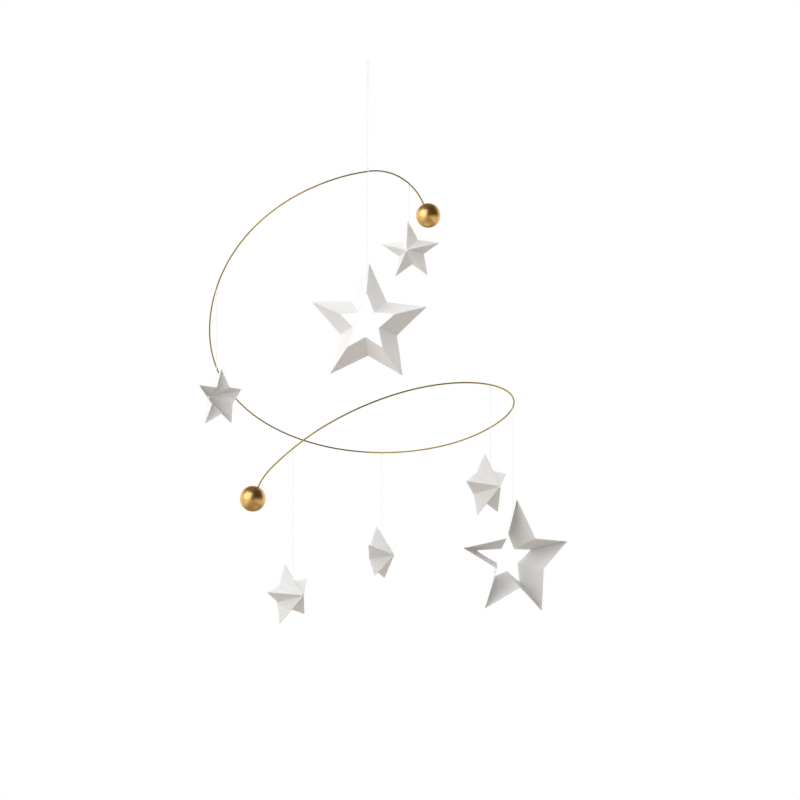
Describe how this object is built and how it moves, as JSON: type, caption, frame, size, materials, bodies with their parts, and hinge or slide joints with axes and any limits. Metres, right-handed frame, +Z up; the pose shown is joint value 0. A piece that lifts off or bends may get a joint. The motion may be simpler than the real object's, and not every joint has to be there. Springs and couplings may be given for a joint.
{
  "type": "star mobile",
  "caption": "Hanging mobile of folded card stars on threads under a curled brass wire with a ball at each end.",
  "frame": {"origin": "top of the hanger loop, where the hook holds it", "axes": "+Z up, +X to the right and -Y towards the viewer of the picture"},
  "size_m": [0.3726, 0.4386, 0.5532],
  "materials": {
    "brass_wire": "satin",
    "gilded_ball": "satin",
    "card": "matte",
    "thread": "matte"
  },
  "bodies": {
    "hanger_loop": {"hanger_loop": "thread"},
    "hanger_knot": {"hanger_knot": "thread"},
    "hanger_thread": {"hanger_thread": "thread"},
    "wire_knot": {"wire_knot": "thread"},
    "wire_loop": {"wire_loop": "thread"},
    "wire": {"wire": "brass_wire", "upper_ball": "gilded_ball", "lower_ball": "gilded_ball"},
    "large_star_upper_loop": {"large_star_upper_loop": "thread"},
    "large_star_upper_thread": {"large_star_upper_thread": "thread"},
    "large_star_upper": {"large_star_upper": "card"},
    "large_star_lower_loop": {"large_star_lower_loop": "thread"},
    "large_star_lower_thread": {"large_star_lower_thread": "thread"},
    "large_star_lower": {"large_star_lower": "card"},
    "small_star_top_loop": {"small_star_top_loop": "thread"},
    "small_star_top_thread": {"small_star_top_thread": "thread"},
    "small_star_top": {"small_star_top": "card"},
    "small_star_left_loop": {"small_star_left_loop": "thread"},
    "small_star_left_thread": {"small_star_left_thread": "thread"},
    "small_star_left": {"small_star_left": "card"},
    "small_star_right_loop": {"small_star_right_loop": "thread"},
    "small_star_right_thread": {"small_star_right_thread": "thread"},
    "small_star_right": {"small_star_right": "card"},
    "small_star_front_loop": {"small_star_front_loop": "thread"},
    "small_star_front_thread": {"small_star_front_thread": "thread"},
    "small_star_front": {"small_star_front": "card"},
    "small_star_back_loop": {"small_star_back_loop": "thread"},
    "small_star_back_thread": {"small_star_back_thread": "thread"},
    "small_star_back": {"small_star_back": "card"}
  },
  "joints": [
    {"name": "hanger_swing_front_back", "type": "hinge", "parent": "hanger_loop", "child": "hanger_knot", "pos_m": [0, 0, -0.025], "axis": [1, 0, 0], "range_deg": [-15, 15]},
    {"name": "hanger_swing_sideways", "type": "hinge", "parent": "hanger_knot", "child": "hanger_thread", "pos_m": [0, 0, -0.025], "axis": [0, 1, 0], "range_deg": [-15, 15]},
    {"name": "mobile_turn", "type": "hinge", "parent": "hanger_thread", "child": "wire_knot", "pos_m": [0, 0, -0.1079], "axis": [0, 0, 1], "continuous": true},
    {"name": "wire_see_saw", "type": "hinge", "parent": "wire_knot", "child": "wire_loop", "pos_m": [0, 0, -0.1079], "axis": [-0.304, 0.9527, 0], "range_deg": [-12, 12]},
    {"name": "wire_roll", "type": "hinge", "parent": "wire_loop", "child": "wire", "pos_m": [0.00036, 0.00012, -0.11037], "axis": [-0.9416, -0.3005, -0.1516], "range_deg": [-12, 12]},
    {"name": "large_star_upper_swing_across", "type": "hinge", "parent": "wire", "child": "large_star_upper_loop", "pos_m": [-0.00078, -0.00019, -0.11059], "axis": [0.9475, 0.2694, 0.1723], "range_deg": [-20, 20]},
    {"name": "large_star_upper_swing_along", "type": "hinge", "parent": "large_star_upper_loop", "child": "large_star_upper_thread", "pos_m": [-0.00053, -0.00012, -0.11207], "axis": [0.2735, -0.9619, 0], "range_deg": [-20, 8]},
    {"name": "large_star_upper_turn", "type": "hinge", "parent": "large_star_upper_thread", "child": "large_star_upper", "pos_m": [-0.00053, -0.00012, -0.21589], "axis": [0, 0, 1], "continuous": true},
    {"name": "large_star_lower_swing_across", "type": "hinge", "parent": "wire", "child": "large_star_lower_loop", "pos_m": [0.14567, 0.01641, -0.34594], "axis": [0.0549, -0.9738, 0.2208], "range_deg": [-20, 20]},
    {"name": "large_star_lower_swing_along", "type": "hinge", "parent": "large_star_lower_loop", "child": "large_star_lower_thread", "pos_m": [0.14569, 0.01608, -0.3474], "axis": [0.9984, 0.0563, 0], "range_deg": [-20, 20]},
    {"name": "large_star_lower_turn", "type": "hinge", "parent": "large_star_lower_thread", "child": "large_star_lower", "pos_m": [0.14569, 0.01608, -0.44944], "axis": [0, 0, 1], "continuous": true},
    {"name": "small_star_top_swing_across", "type": "hinge", "parent": "wire", "child": "small_star_top_loop", "pos_m": [0.04251, 0.01376, -0.12307], "axis": [0.7066, 0.2288, -0.6696], "range_deg": [-20, 20]},
    {"name": "small_star_top_swing_along", "type": "hinge", "parent": "small_star_top_loop", "child": "small_star_top_thread", "pos_m": [0.04155, 0.01345, -0.12419], "axis": [0.308, -0.9514, 0], "range_deg": [-12, 7]},
    {"name": "small_star_top_turn", "type": "hinge", "parent": "small_star_top_thread", "child": "small_star_top", "pos_m": [0.04155, 0.01345, -0.17087], "axis": [0, 0, 1], "continuous": true},
    {"name": "small_star_left_swing_across", "type": "hinge", "parent": "wire", "child": "small_star_left_loop", "pos_m": [-0.15485, 0.06747, -0.2265], "axis": [0.2701, -0.6425, 0.7171], "range_deg": [-20, 20]},
    {"name": "small_star_left_swing_along", "type": "hinge", "parent": "small_star_left_loop", "child": "small_star_left_thread", "pos_m": [-0.15444, 0.06648, -0.22755], "axis": [0.9218, 0.3876, 0], "range_deg": [-20, 20]},
    {"name": "small_star_left_turn", "type": "hinge", "parent": "small_star_left_thread", "child": "small_star_left", "pos_m": [-0.15444, 0.06648, -0.3178], "axis": [0, 0, 1], "continuous": true},
    {"name": "small_star_right_swing_across", "type": "hinge", "parent": "wire", "child": "small_star_right_loop", "pos_m": [0.12034, -0.09494, -0.32412], "axis": [-0.4931, -0.8626, 0.1129], "range_deg": [-20, 20]},
    {"name": "small_star_right_swing_along", "type": "hinge", "parent": "small_star_right_loop", "child": "small_star_right_thread", "pos_m": [0.12026, -0.09509, -0.32561], "axis": [0.8682, -0.4963, 0], "range_deg": [-20, 20]},
    {"name": "small_star_right_turn", "type": "hinge", "parent": "small_star_right_thread", "child": "small_star_right", "pos_m": [0.12026, -0.09509, -0.40352], "axis": [0, 0, 1], "continuous": true},
    {"name": "small_star_front_swing_across", "type": "hinge", "parent": "wire", "child": "small_star_front_loop", "pos_m": [-0.07135, -0.16917, -0.38628], "axis": [0.7503, -0.243, 0.6148], "range_deg": [-20, 20]},
    {"name": "small_star_front_swing_along", "type": "hinge", "parent": "small_star_front_loop", "child": "small_star_front_thread", "pos_m": [-0.07047, -0.16945, -0.38747], "axis": [-0.3081, -0.9513, 0], "range_deg": [-20, 20]},
    {"name": "small_star_front_turn", "type": "hinge", "parent": "small_star_front_thread", "child": "small_star_front", "pos_m": [-0.07047, -0.16945, -0.51098], "axis": [0, 0, 1], "continuous": true},
    {"name": "small_star_back_swing_across", "type": "hinge", "parent": "wire", "child": "small_star_back_loop", "pos_m": [0.01301, 0.22036, -0.39455], "axis": [0.9591, -0.283, 0.0023], "range_deg": [-20, 20]},
    {"name": "small_star_back_swing_along", "type": "hinge", "parent": "small_star_back_loop", "child": "small_star_back_thread", "pos_m": [0.01301, 0.22036, -0.39605], "axis": [-0.283, -0.9591, 0], "range_deg": [-20, 20]},
    {"name": "small_star_back_turn", "type": "hinge", "parent": "small_star_back_thread", "child": "small_star_back", "pos_m": [0.01301, 0.22036, -0.48565], "axis": [0, 0, 1], "continuous": true}
  ]
}
